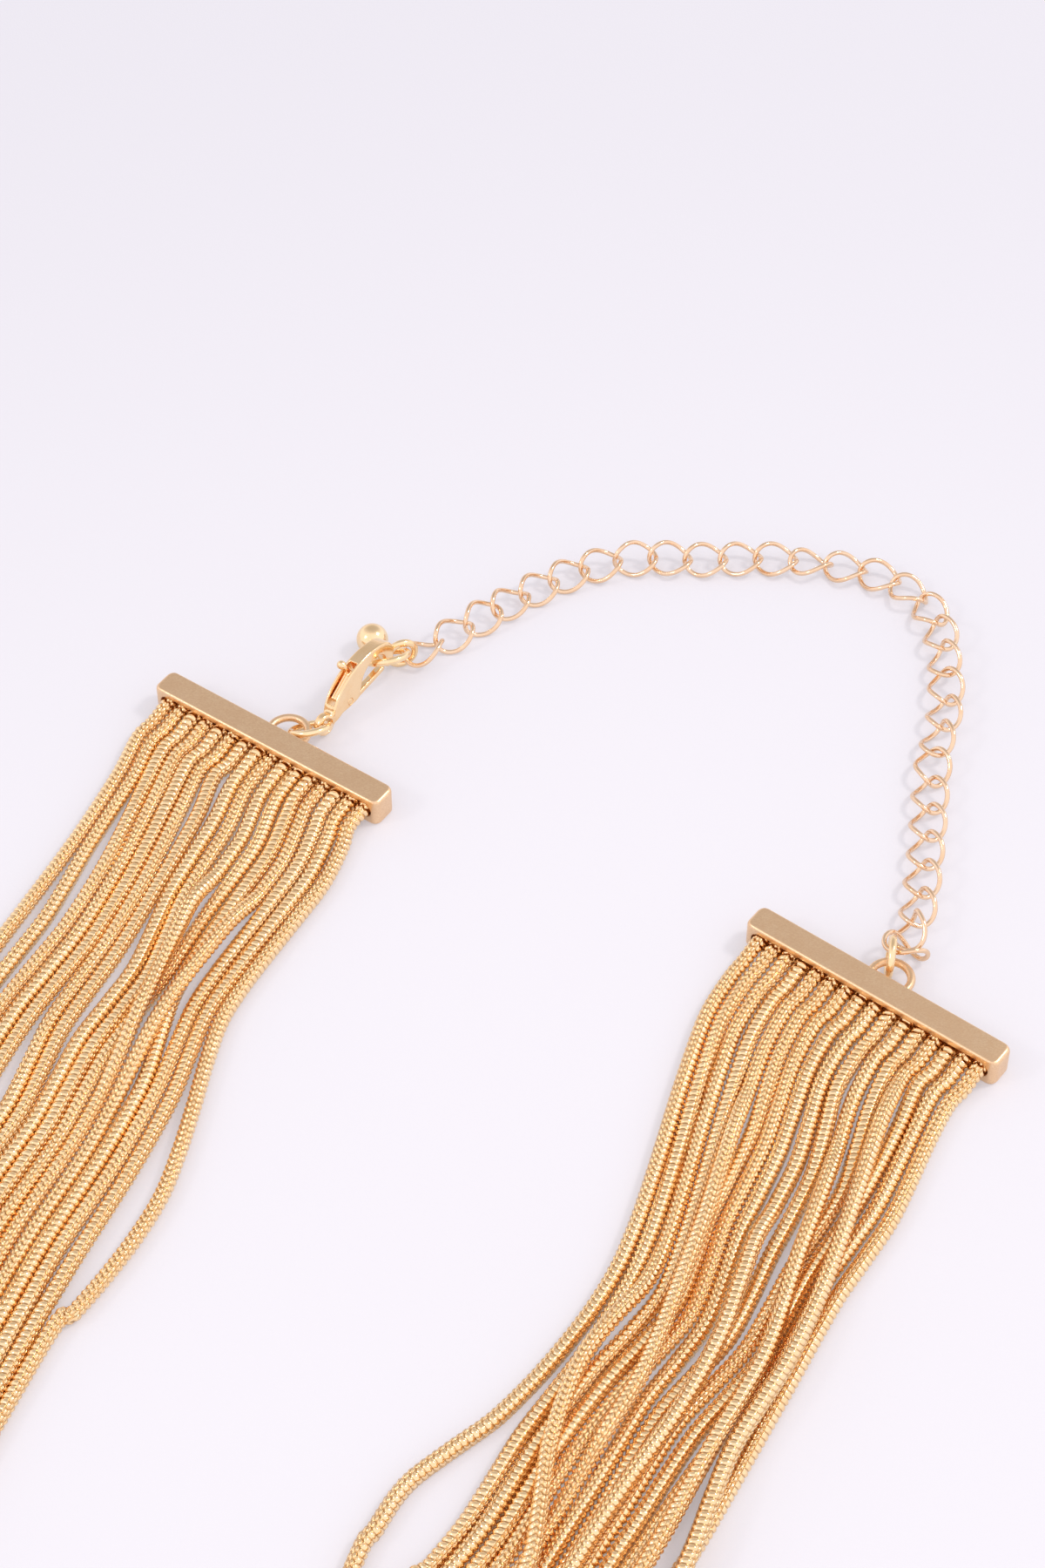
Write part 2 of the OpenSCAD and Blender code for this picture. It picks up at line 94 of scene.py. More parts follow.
# Crossings, by strand on the left and by slot on the right: distances out between which it rises,
# then descends
LEFT_LIFTS = {10: (15, 21, 37, 43), 13: (15, 21, 37, 43)}
RIGHT_LIFTS = {3: (37, 43, 79, 87), 5: (16, 22, 54, 60), 9: (26, 32, 79, 87),
               11: (15, 21, 79, 87), 13: (6, 12, 79, 87)}
# Each strand's lane round the turn, 1 outermost, and its slot in the right bar
TURN_LANE = [1, 2, 3, 4, 5, 6, 7, 8, 9, 11, 10, 13, 12, 14, 15, 16]
RIGHT_SLOT = [13, 16, 11, 15, 14, 12, 9, 10, 8, 5, 3, 6, 7, 4, 2, 1]
# Turn at the front of the neck: middle, radius and pitch of the lanes, first and last angle, steps
TURN_MIDDLE = (-41.0, -114.0)
TURN_R, TURN_PITCH = 32.0, 1.75
TURN_FROM, TURN_TO, TURN_STEPS = 160.0, 335.0, 10

# Extender chain: its route on the table, and the roll of each link about its length in degrees
CHAIN_ROUTE = np.array([
    (-12.5, 17.5), (-9.5, 19.4), (-7.1, 21.2), (-4.4, 23.4), (-1.4, 25.9), (2, 28.4),
    (6.1, 30.9), (10, 32.1), (14, 32.8), (18, 32.6), (22, 32.6), (26, 33), (30.2, 32.6),
    (34, 32.2), (38, 31.1), (41.8, 29.3), (44.5, 26.4), (45.8, 22.8), (46.1, 18.8),
    (46, 15.5), (46, 12.2), (45.4, 8.3), (44.2, 4.6), (43.4, 0.4), (42.8, -4),
    (42.2, -8.4), (41.6, -12.4), (40.9, -16.4), (40.1, -20.3)], float)
LINK_ROLLS = [-15, 20, 35, 15, 20, 20, 20, 40, 25, 25, 20, 20, -10, 5,
              12, -5, 10, 25, 35, 10, 20, 30, 0, 10, 15, 20, 20, 25]
# The two links beside ring_d, which leave the route: both ends and roll
LAST_LINKS = [((40, -19.75, 1.85), (38.85, -23.5, 1.45), 40),
              ((40.55, -24.55, 1.4), (36.95, -23.45, 2.55), 38)]
# A link: half length, half width, diameter of the wire, twist in degrees
LINK_HALF_LONG, LINK_HALF_WIDE, LINK_WIRE, LINK_TWIST = 2.36, 1.85, 0.52, 45.0

# Rings: x, y, z of the middle, tilt and heading of the axis, radius, diameter of the wire
RINGS = {
    "ring_a": (-14.75, 15.97, 2.93, 32.6, 108.4, 2.27, 0.8),
    "ring_b": (-13.21, 17.53, 1.9, 91.3, 111.1, 1.49, 0.8),
    "ring_c": (-22.75, 6.17, 1.96, 35, 107.5, 2.11, 0.8),
    "ring_d": (37.05, -25.6, 2.36, 93, -8, 1.95, 0.8),
}
# Ball drop: middle and radius, and its loop as the rings are given
BALL_MIDDLE = np.array([-16.49, 19.82, 1.76])
BALL_R = 1.75
BALL_LOOP = (-15.92, 17.51, 1.77, 94.9, 15.1, 0.8, 0.5)


# Meshes

def put(points):
    """Points on the table in millimetres, to the row frame in metres: (p - middle) / 1000."""
    return (np.asarray(points, float) - LAY_MIDDLE) / 1000


def mesh_piece(name, shells, material, body="necklace"):
    """One smooth shaded object from several shells. A shell is its points in mm (n x 3), its faces
    (m x corners), and its uv for each corner of each face or None."""
    verts, loops, sizes, uvs, base = [], [], [], [], 0
    for points, faces, uv in shells:
        verts.append(put(points))
        loops.append((faces + base).ravel())
        sizes.append(np.full(len(faces), faces.shape[1]))
        uvs.append(np.zeros((faces.size, 2)) if uv is None else uv.reshape(-1, 2))
        base += len(points)
    verts, loops, sizes = np.vstack(verts), np.concatenate(loops), np.concatenate(sizes)
    mesh = bpy.data.meshes.new(name)
    mesh.vertices.add(len(verts))
    mesh.vertices.foreach_set("co", verts.astype(np.float32).ravel())
    mesh.loops.add(len(loops))
    mesh.loops.foreach_set("vertex_index", loops.astype(np.int32))
    mesh.polygons.add(len(sizes))
    starts = np.concatenate([[0], np.cumsum(sizes)[:-1]])
    mesh.polygons.foreach_set("loop_start", starts.astype(np.int32))
    mesh.polygons.foreach_set("use_smooth", np.full(len(sizes), True))
    layer = mesh.uv_layers.new(name="surface")
    layer.data.foreach_set("uv", np.vstack(uvs).astype(np.float32).ravel())
    mesh.update(calc_edges=True)
    mesh.validate()
    mesh.materials.append(material)
    piece = bpy.data.objects.new(name, mesh)
    bpy.context.collection.objects.link(piece)
    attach(piece, body)
    return piece


def tidy_normals(piece):
    """Merges doubled points and turns the faces outwards."""
    bpy.context.view_layer.objects.active = piece
    for other in bpy.context.selected_objects:
        other.select_set(False)
    piece.select_set(True)
    bpy.ops.object.mode_set(mode="EDIT")
    bpy.ops.mesh.select_all(action="SELECT")
    bpy.ops.mesh.remove_doubles(threshold=1e-6)
    bpy.ops.mesh.normals_make_consistent(inside=False)
    bpy.ops.object.mode_set(mode="OBJECT")


def grid_faces(rows, columns, close_rows=False):
    """Quads between neighbouring rows and columns of a grid of points. The columns close in a ring,
    and the rows do when asked."""
    r = np.arange(rows if close_rows else rows - 1)
    r, c = np.meshgrid(r, np.arange(columns), indexing="ij")
    r, c = r.ravel(), c.ravel()
    r2, c2 = (r + 1) % rows, (c + 1) % columns
    return np.stack([r * columns + c, r * columns + c2, r2 * columns + c2, r2 * columns + c], 1)


def unit(v):
    """Vectors brought to length 1: v / |v|."""
    return v / np.maximum(np.linalg.norm(v, axis=-1, keepdims=True), 1e-12)


def turn_about(axis, angle):
    """Matrix of a turn about x (0), y (1) or z (2): cos on the diagonal, sin and -sin across it."""
    b, c = (axis + 1) % 3, (axis + 2) % 3
    turn = np.eye(3)
    turn[b, b] = turn[c, c] = math.cos(angle)
    turn[c, b] = math.sin(angle)
    turn[b, c] = -math.sin(angle)
    return turn


def catmull(points, steps, closed=False):
    """Catmull-Rom curve through points: 0.5 (2b + (c-a)t + (2a-5b+4c-d)t^2 + (3b-a-3c+d)t^3)."""
    p = np.asarray(points, float)
    n = len(p)
    i = np.arange(n if closed else n - 1)
    near = [i + k for k in (-1, 0, 1, 2)]
    near = [k % n if closed else np.clip(k, 0, n - 1) for k in near]
    a, b, c, d = [p[k][:, None] for k in near]
    t = (np.arange(steps) / steps)[None, :, None]
    square, cube = 2 * a - 5 * b + 4 * c - d, 3 * b - a - 3 * c + d
    q = (0.5 * (2 * b + (c - a) * t + square * t**2 + cube * t**3)).reshape(-1, p.shape[1])
    return q if closed else np.vstack([q, p[-1:]])


def reaches(path):
    """Distance along a polyline from its start to each of its points."""
    return np.concatenate([[0], np.cumsum(np.linalg.norm(np.diff(path, axis=0), axis=1))])


def along(path, s):
    """Points at distances s along a polyline, straight between its points."""
    reach = reaches(path)
    return np.stack([np.interp(s, reach, path[:, k]) for k in range(path.shape[1])], -1)


def sweep(path, radius, sides, closed):
    """Round wire along a path: path + radius (side cos a + up sin a). The side is carried along
    without twist, and on a closed path the turn left over is spread along it."""
    p = np.asarray(path, float)
    oblique = (0.3, 0.2, 1.0)
    t = unit(np.roll(p, -1, 0) - np.roll(p, 1, 0)) if closed else unit(np.gradient(p, axis=0))
    side = np.empty_like(p)
    side[0] = unit(np.cross(t[0], oblique))
    for i in range(1, len(p)):
        side[i] = unit(side[i - 1] - t[i] * np.dot(side[i - 1], t[i]))
    reach = reaches(p)
    if closed:
        last = unit(side[-1] - t[0] * np.dot(side[-1], t[0]))
        left_over = math.atan2(np.dot(np.cross(side[0], last), t[0]), np.dot(side[0], last))
        turn = -left_over * np.arange(len(p))[:, None] / len(p)
        side = side * np.cos(turn) + np.cross(t, side) * np.sin(turn)
        reach = np.append(reach, reach[-1] + np.linalg.norm(p[0] - p[-1]))
    up = np.cross(t, side)
    a = TAU * np.arange(sides)[None, :, None] / sides
    points = p[:, None] + radius * (side[:, None] * np.cos(a) + up[:, None] * np.sin(a))
    faces = grid_faces(len(p), sides, close_rows=closed)
    row, column = np.divmod(faces[:, 0], sides)
    u = np.stack([column, column + 1, column + 1, column], 1) / sides
    v = np.stack([reach[row], reach[row], reach[row + 1], reach[row + 1]], 1)
    return points.reshape(-1, 3), faces, np.stack([u, v], -1)


def capped(shell, sides):
    """An open tube, and a second shell with a flat fan over each of its ends."""
    points = shell[0]
    first, last = points[:sides], points[-sides:]
    rims = np.vstack([first, last, first.mean(0), last.mean(0)])
    k = np.arange(sides)
    after = (k + 1) % sides
    start = np.stack([after, k, np.full(sides, 2 * sides)], 1)
    end = np.stack([sides + k, sides + after, np.full(sides, 2 * sides + 1)], 1)
    return [shell, (rims, np.vstack([start, end]), None)]


# Routes of the strands

def lane(table, column, v):
    """Cubic Hermite through a column of a lane table, at distances v. A slope is that between both
    neighbours, and at the ends that to the one neighbour."""
    x, y = table[:, 0], table[:, column]
    slope = np.gradient(y, x)
    slope[1:-1] = (y[2:] - y[:-2]) / (x[2:] - x[:-2])
    i = np.clip(np.searchsorted(x, v, "right") - 1, 0, len(x) - 2)
    w = x[i + 1] - x[i]
    t = (v - x[i]) / w
    p, q, m, n = y[i], y[i + 1], slope[i] * w, slope[i + 1] * w
    return p + m * t + (3 * (q - p) - 2 * m - n) * t**2 + (2 * (p - q) + m + n) * t**3


def ramp(v, a, b):
    """Smooth rise from 0 at a to 1 at b: t^2 (3 - 2t), with t straight from a to b."""
    t = np.clip((v - a) / (b - a), 0, 1)
    return t * t * (3 - 2 * t)


def beside(bar, u, v, z):
    """Points on the table: the bar's middle + u along its length + (v + half its width) across it."""
    x, y, heading = BARS[bar]
    cos, sin = math.cos(math.radians(heading)), math.sin(math.radians(heading))
    out = np.asarray(v, float) + BAR_WIDE / 2
    u, z = np.broadcast_to(u, out.shape), np.broadcast_to(z, out.shape)
    return np.stack([x + cos * u + sin * out, y + sin * u - cos * out, z], -1)


def fan(bar, table, lifts, column):
    """Points of a strand from inside the bar's slot out over the table, at its lane's places, and
    raised by lift x rise x (1 - descent) where it crosses its neighbours."""
    slot_u = (column - (STRANDS + 1) / 2) * SLOT_PITCH
    v = np.arange(LANE_STEP, table[-1, 0] + 1, LANE_STEP)
    lift = np.zeros_like(v)
    if column in lifts:
        a, b, c, d = lifts[column]
        lift = CROSS_LIFT * ramp(v, a, b) * (1 - ramp(v, c, d))
    start = beside(bar, slot_u, START_OUT, START_Z)
    return np.vstack([start, beside(bar, lane(table, column, v), v, STRAND_Z + lift)])


def strand_route(k):
    """Strand k from the left bar, round the front of the neck on a circle's arc, to the right bar:
    a smooth curve through these points, held up to its height on the table."""
    a = np.radians(np.linspace(TURN_FROM, TURN_TO, TURN_STEPS + 1))
    r = TURN_R + ((STRANDS + 1) / 2 - TURN_LANE[k - 1]) * TURN_PITCH
    x, y = TURN_MIDDLE[0] + r * np.cos(a), TURN_MIDDLE[1] + r * np.sin(a)
    turn = np.stack([x, y, np.full_like(a, STRAND_Z)], 1)
    left = fan("left", LEFT_LANES, LEFT_LIFTS, k)
    right = fan("right", RIGHT_LANES, RIGHT_LIFTS, RIGHT_SLOT[k - 1])
    route = catmull(np.vstack([left, turn, right[::-1]]), ROUTE_STEPS)
    route[:, 2] = np.maximum(route[:, 2], STRAND_Z)
    return route


# Surface of the snake chains

RIB_PITCH = 0.7
# The four rows of a rib: place along it in ribs, and share of the strand's radius
SMOOTH_ROWS = np.array([(0.0, 0.76), (0.19, 0.9), (0.5, 1.0), (0.81, 0.9)])
SEAM_ROWS = np.array([(0.0, 0.78), (0.22, 0.93), (0.5, 1.03), (0.78, 0.93)])
# Half a turn has four columns of smooth rib, then three of seam beads, each shifted by some ribs
HALF_SIDES = 7
SIDES = 2 * HALF_SIDES
SEAM = np.tile([0, 0, 0, 0, 1, 1, 1], 2)
COLUMN_SHIFT = np.tile([0.0, 0.07, 0.14, 0.21, 0.58, 0.12, 0.5], 2)
RIB_ROWS = np.where(SEAM[:, None], SEAM_ROWS[:, None], SMOOTH_ROWS[:, None])
ROW_PHASE, ROW_RADIUS = RIB_ROWS[..., 0], RIB_ROWS[..., 1]
# Slow twist of a strand: number of waves, their size in radians, their length in mm per radian
WAVES, WAVE_TURN, WAVE_LENGTH = 3, (0.3, 0.6), (10, 28)
# Spread of the radius, a quarter of it on smooth ribs and five quarters on beads
JITTER = 0.008
STRAND_SEED = 500
# Clear of the route's ends, and reach to both sides of a place for the route's direction
END_GAP, TANGENT_REACH = 0.02, 0.4


def snake_chain(k):
    """A strand's surface. For rib i, row f and column j: s = pitch (i + phase_f + shift_j), angle =
    360 j / sides + slow waves over s, radius = R (share_f + seeded jitter), set out from the route
    at s along its level side and up: side cos angle + up sin angle."""
    rng = np.random.default_rng(STRAND_SEED + k)
    route = strand_route(k)
    length = reaches(route)[-1]
    ribs = int(length / RIB_PITCH) - 1
    phase = (np.arange(ribs)[:, None, None] + ROW_PHASE).reshape(-1, SIDES)
    s = np.clip((phase + COLUMN_SHIFT) * RIB_PITCH, END_GAP, length - END_GAP)
    ahead, behind = np.minimum(s + TANGENT_REACH, length), np.maximum(s - TANGENT_REACH, 0)
    tangent = unit(along(route, ahead) - along(route, behind))
    side = unit(np.cross((0, 0, 1.0), tangent))
    up = np.cross(tangent, side)
    waves = sum(rng.uniform(*WAVE_TURN) * np.sin(s / rng.uniform(*WAVE_LENGTH) + rng.uniform(0, TAU))
                for _ in range(WAVES))
    angle = (TAU * np.arange(SIDES) / SIDES + rng.uniform(0, TAU) + waves)[..., None]
    jitter = rng.normal(0, JITTER, s.shape) * (0.25 + SEAM)
    r = STRAND_R * (np.tile(ROW_RADIUS, (ribs, 1)) + jitter)[..., None]
    points = along(route, s) + r * (side * np.cos(angle) + up * np.sin(angle))
    faces = grid_faces(len(s), SIDES)
    row, column = np.divmod(faces[:, 0], SIDES)
    after = (column + 1) % SIDES
    u = np.stack([column, column + 1, column + 1, column], 1) / SIDES
    v = np.stack([phase[row, column], phase[row, after], phase[row + 1, after], phase[row + 1, column]], 1)
    return capped((points.reshape(-1, 3), faces, np.stack([u, v], -1)), SIDES)


# Bars, rings and links

# Points round a wire, along a ring, and along a bar's half loop
WIRE_SIDES, RING_STEPS, BEND_POINTS = 20, 96, 41
# The same for a link, and the finer steps by which its lowest point is found
LINK_SIDES, LINK_STEPS, REST_STEPS = 14, 56, 72


def rounded_outline(half_x, half_z, r, corner_points=10, long_points=24, short_points=3):
    """Points round a rectangle whose corners are arcs: corner + r (cos a, sin a), with straight
    sides between them."""
    r = min(r, half_x, half_z)
    x, z = half_x - r, half_z - r
    corners = []
    for corner_x, corner_z, start in ((x, z, 90), (x, -z, 0), (-x, -z, -90), (-x, z, -180)):
        a = np.radians(np.linspace(start, start - 90, corner_points))
        corners.append(np.stack([corner_x + r * np.cos(a), corner_z + r * np.sin(a)], 1))
    outline = []
    for k in range(4):
        arc, after = corners[k], corners[(k + 1) % 4]
        n = short_points if k % 2 == 0 else long_points
        w = (np.arange(1, n + 1) / (n + 1))[:, None]
        outline += [arc, arc[-1] * (1 - w) + after[0] * w]
    return np.vstack(outline)


def drawn_in(r, depth):
    """How far an edge rounded with radius r lies back at a depth: r - sqrt(r^2 - (r - depth)^2)."""
    return r - np.sqrt(r**2 - (r - np.minimum(depth, r))**2)


def bar_loops():
    """Loops of points over an end bar, as rounded rectangles (half length, half height, corner radius,
    place along the width): from the slot's floor out of its mouth, over the outside, to the back."""
    half_x, half_z, half_y = BAR_LONG / 2, BAR_HIGH / 2, BAR_WIDE / 2
    slot_x, slot_z, slot_floor = SLOT_LONG / 2, SLOT_HIGH / 2, SLOT_DEEP - BAR_WIDE / 2
    end_round, top_round, corner, lip = 0.8, 0.28, 0.5, 0.08
    depths = np.array([0, 0.015, 0.05, 0.1, 0.16, 0.22, 0.28, 0.36, 0.48, 0.62, 0.8])
    in_x, in_z = drawn_in(end_round, depths), drawn_in(top_round, depths)
    floor_loops = [(slot_x * 0.5, 0.05, 0.05, slot_floor), (slot_x - 0.35, slot_z - 0.35, 0.6, slot_floor),
                   (slot_x - 0.1, slot_z - 0.1, slot_z, slot_floor - 0.04),
                   (slot_x, slot_z, slot_z, slot_floor - 0.3)]
    lip_loops = [(slot_x + lip * (1 - math.cos(a)), slot_z + lip * (1 - math.cos(a)), slot_z,
                  -half_y + lip * (1 - math.sin(a))) for a in np.radians([0, 30, 60, 90])]
    outside = [(half_x - a, half_z - b, corner, d - half_y) for a, b, d in zip(in_x, in_z, depths)]
    outside += [(long, high, r, -y) for long, high, r, y in outside[::-1]]
    back = [(half_x * 0.6, 0.3, 0.3, half_y), (half_x * 0.3, 0.02, 0.02, half_y)]
    loops = []
    for long, high, r, y in floor_loops + lip_loops + outside + back:
        outline = rounded_outline(long, high, r)
        loops.append(np.column_stack([outline[:, 0], np.full(len(outline), y), outline[:, 1] + half_z]))
    return np.array(loops)


def end_bar(side):
    """An end bar with its half loop: the bar's loops of points and a wire bent to a half circle
    (R cos a, leg + R sin a) between two legs, turned by the bar's heading and moved to its place."""
    x, y, heading = BARS[side]
    loops = bar_loops()
    rows, columns = loops.shape[:2]
    lid = np.arange(columns)[None]
    shells = [(loops.reshape(-1, 3), grid_faces(rows, columns), None),
              (loops[0][::-1], lid, None), (loops[-1], lid, None)]
    a = np.radians(np.linspace(0, 180, BEND_POINTS))
    bend = np.stack([LOOP_R * np.cos(a), LOOP_LEG + LOOP_R * np.sin(a), np.zeros_like(a)], 1)
    leg = np.array([(LOOP_R, -LOOP_SUNK, 0), (LOOP_R, LOOP_LEG / 2, 0)])
    wire = np.vstack([leg, bend, leg[::-1] * (-1, 1, 1)]) + (0, BAR_WIDE / 2, SLOT_Z)
    shells += capped(sweep(wire, LOOP_WIRE / 2, WIRE_SIDES, False), WIRE_SIDES)
    turn = turn_about(2, math.radians(heading))
    shells = [(points @ turn.T + (x, y, 0), faces, uv) for points, faces, uv in shells]
    piece = mesh_piece("end_bar_" + side, shells, satin_gold)
    tidy_normals(piece)
    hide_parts("bar_" + side)


def ring_shell(place, steps=RING_STEPS, sides=WIRE_SIDES):
    """Ring: middle + r (a cos q + b sin q), where a and b lie across an upright axis that is tilted,
    then headed."""
    x, y, z, tilt, heading, r, wire = place
    t, h = math.radians(tilt), math.radians(heading)
    axis = np.array([math.sin(t) * math.cos(h), math.sin(t) * math.sin(h), math.cos(t)])
    a = np.array([math.cos(t) * math.cos(h), math.cos(t) * math.sin(h), -math.sin(t)])
    b = np.cross(axis, a)
    q = TAU * np.arange(steps)[:, None] / steps
    return sweep(np.array([x, y, z]) + r * (a * np.cos(q) + b * np.sin(q)), wire / 2, sides, True)


def link_curve(steps):
    """A twisted oval: (A cos t, B sin t) turned about its length by -twist cos t."""
    t = TAU * np.arange(steps) / steps
    turn = -math.radians(LINK_TWIST) * np.cos(t)
    y = LINK_HALF_WIDE * np.sin(t)
    return np.stack([LINK_HALF_LONG * np.cos(t), y * np.cos(turn), y * np.sin(turn)], 1)


def link_rest(roll):
    """Height of a rolled link's middle when it lies on the table: wire / 2 - its curve's lowest z."""
    p = link_curve(REST_STEPS)
    r = math.radians(roll)
    return LINK_WIRE / 2 - (p[:, 1] * math.sin(r) + p[:, 2] * math.cos(r)).min()


def link_shell(start, end, roll):
    """A link with its middle between two places: its curve along the line that joins them, with its
    width and height rolled about that line from level and upright."""
    start, end = np.array(start, float), np.array(end, float)
    length = unit(end - start)
    level = unit(np.cross((0, 0, 1.0), length))
    upright = np.cross(length, level)
    r = math.radians(roll)
    side = level * math.cos(r) + upright * math.sin(r)
    up = upright * math.cos(r) - level * math.sin(r)
    p = link_curve(LINK_STEPS)
    path = (start + end) / 2 + p[:, :1] * length + p[:, 1:2] * side + p[:, 2:] * up
    return sweep(path, LINK_WIRE / 2, LINK_SIDES, True)


def extender_links():
    """Links at even steps of the route, each joint as high as the higher of its two links rests."""
    curve = catmull(CHAIN_ROUTE, steps=8)
    joints = along(curve, np.linspace(0, reaches(curve)[-1], len(LINK_ROLLS) + 1))
    rest = [link_rest(roll) for roll in LINK_ROLLS]
    z = np.maximum(rest[:1] + rest, rest + rest[-1:])
    joints = np.column_stack([joints, z])
    shells = [link_shell(joints[i], joints[i + 1], roll) for i, roll in enumerate(LINK_ROLLS)]
    return shells + [link_shell(*link) for link in LAST_LINKS]


def ball_shell(middle, r, rows=36, columns=64):
    """Sphere from the lower pole up: r (sin a cos b, sin a sin b, -cos a)."""
    a = (np.arange(rows) + 0.5)[:, None] * math.pi / rows
    b = TAU * np.arange(columns)[None] / columns
    points = r * np.stack([np.sin(a) * np.cos(b), np.sin(a) * np.sin(b), 0 * b - np.cos(a)], -1) + middle
    return capped((points.reshape(-1, 3), grid_faces(rows, columns), None), columns)


# Cast pieces from a distance field

def soft_min(a, b, blend):
    """Lesser of two fields, b + (a - b) h - blend h (1 - h), where h goes from 0 to 1 as b - a goes
    from -blend to blend."""
    h = np.clip(0.5 + 0.5 * (b - a) / blend, 0, 1)
    return b * (1 - h) + a * h - blend * h * (1 - h)


def soft_max(a, b, blend):
    """Greater of two fields: minus the soft lesser of their opposites."""
    return -soft_min(-a, -b, blend)


def segment_field(x, y, p, q):
    """Distance to a segment: |w - clip(w.e / e.e, 0, 1) e| with w from p and e from p to q."""
    ex, ey = q[0] - p[0], q[1] - p[1]
    wx, wy = x - p[0], y - p[1]
    t = np.clip((wx * ex + wy * ey) / (ex * ex + ey * ey), 0, 1)
    return np.hypot(wx - t * ex, wy - t * ey)


def outline_field(points, x, y):
    """Signed distance to a closed outline, below 0 inside, from the nearest side and a crossing count."""
    best = np.full(x.shape, 1e9)
    odd = np.zeros(x.shape, bool)
    for p, q in zip(points, np.roll(points, -1, 0)):
        best = np.minimum(best, segment_field(x, y, p, q))
        cross = (p[1] > y) != (q[1] > y)
        slope = (q[0] - p[0]) / (q[1] - p[1]) if q[1] != p[1] else 0.0
        odd ^= cross & (x < p[0] + slope * (y - p[1]))
    return np.where(odd, -best, best)


def field_grid(low, high, step):
    """Places of a field's grid: x, y and z at every step from low up to high."""
    axes = [np.arange(a, b + step, step) for a, b in zip(low, high)]
    return np.meshgrid(*axes, indexing="ij")


def surface_net(field, low, step):
    """Closed surface where a field on a grid changes sign: one point in each cell that the surface
    crosses, at the mean of the crossings on its 12 edges, and a quad round each crossed grid edge."""
    inside = field < 0
    n = np.array(field.shape)
    corners = [inside[i:n[0] - 1 + i, j:n[1] - 1 + j, k:n[2] - 1 + k].astype(np.int8)
               for i in (0, 1) for j in (0, 1) for k in (0, 1)]
    count = sum(corners)
    live = (count > 0) & (count < len(corners))
    number = np.full(live.shape, -1)
    number[live] = np.arange(live.sum())
    cell = np.stack(np.nonzero(live), 1)
    total, hits = np.zeros((len(cell), 3)), np.zeros(len(cell))
    eye = np.eye(3, dtype=int)
    quads = []
    for axis in range(3):
        b, c = eye[(axis + 1) % 3], eye[(axis + 2) % 3]
        for shift in (0 * b, b, c, b + c):
            start = cell + shift
            from_value, to_value = field[tuple(start.T)], field[tuple((start + eye[axis]).T)]
            crossed = (from_value < 0) != (to_value < 0)
            t = from_value / np.where(crossed, from_value - to_value, 1)
            total += np.where(crossed[:, None], start + t[:, None] * eye[axis], 0)
            hits += crossed
        edge = np.stack(np.nonzero(inside != np.roll(inside, -1, axis)), 1)
        edge = edge[(edge > 0).all(1) & (edge < n - 1).all(1)]
        quad = np.stack([number[tuple((edge - shift).T)] for shift in (0 * b, b, b + c, c)], 1)
        flip = ~inside[tuple(edge.T)]
        quad[flip] = quad[flip][:, ::-1]
        quads.append(quad)
    return np.array(low) + step * total / hits[:, None], np.vstack(quads)


# Clasp, in a plane of its own with the tail eye's middle at 0, 0

# Place of that middle on the table, and roll, pitch and heading of the plane in degrees
CLASP_AT = np.array([-21.32, 7.36, 1.44])
CLASP_TURN = (79.6, -12.2, 54.4)
CLASP_THICK, LEVER_THICK, EYE_THICK, NECK_THICK = 1.7, 0.85, 1.1, 1.4
EYE_R, EYE_HOLE, NECK_HALF = 1.3, 0.775, 0.65
# The lever's window in the body: play beside the lever, middle and half length
WINDOW_PLAY, WINDOW_X, WINDOW_HALF = 0.1, 4.3, 2.5
# Pin: its place, its sides, and the radii of its bores in the body and in the lever
PIVOT = (3.8, -0.1)
PIN_SIDES = 40
BODY_BORE, LEVER_BORE = 0.41, 0.45
CLASP_OUTLINE = [
    (1.1, -0.5), (2.15, -0.55), (3.4, -0.85), (4.75, -1.05), (5.45, -0.85), (5.75, -0.35), (6.3, 0.4),
    (7, 1), (8.05, 1.35), (9.05, 1.3), (9.85, 0.9), (10.3, 0.2), (10.35, -0.5), (10.1, -1.05),
    (10.1, -1.6), (10.8, -1.6), (11.5, -1), (11.9, -0.1), (11.7, 1), (10.7, 1.9), (9.25, 2.45),
    (7.7, 2.75), (6.2, 2.8), (4.65, 2.6), (3.2, 2.15), (2.05, 1.5), (1.1, 0.55)]


def at_clasp(points):
    """From the clasp's own plane to the table: turned by roll, pitch, heading, then moved."""
    roll, pitch, heading = np.radians(CLASP_TURN)
    turn = turn_about(2, heading) @ turn_about(1, pitch) @ turn_about(0, roll)
    return points @ turn.T + CLASP_AT


def slab(flat, z, thick, blend):
    """A flat field given a thickness: the soft greater of it and |z| - thick / 2."""
    return soft_max(flat, np.abs(z) - thick / 2, blend)


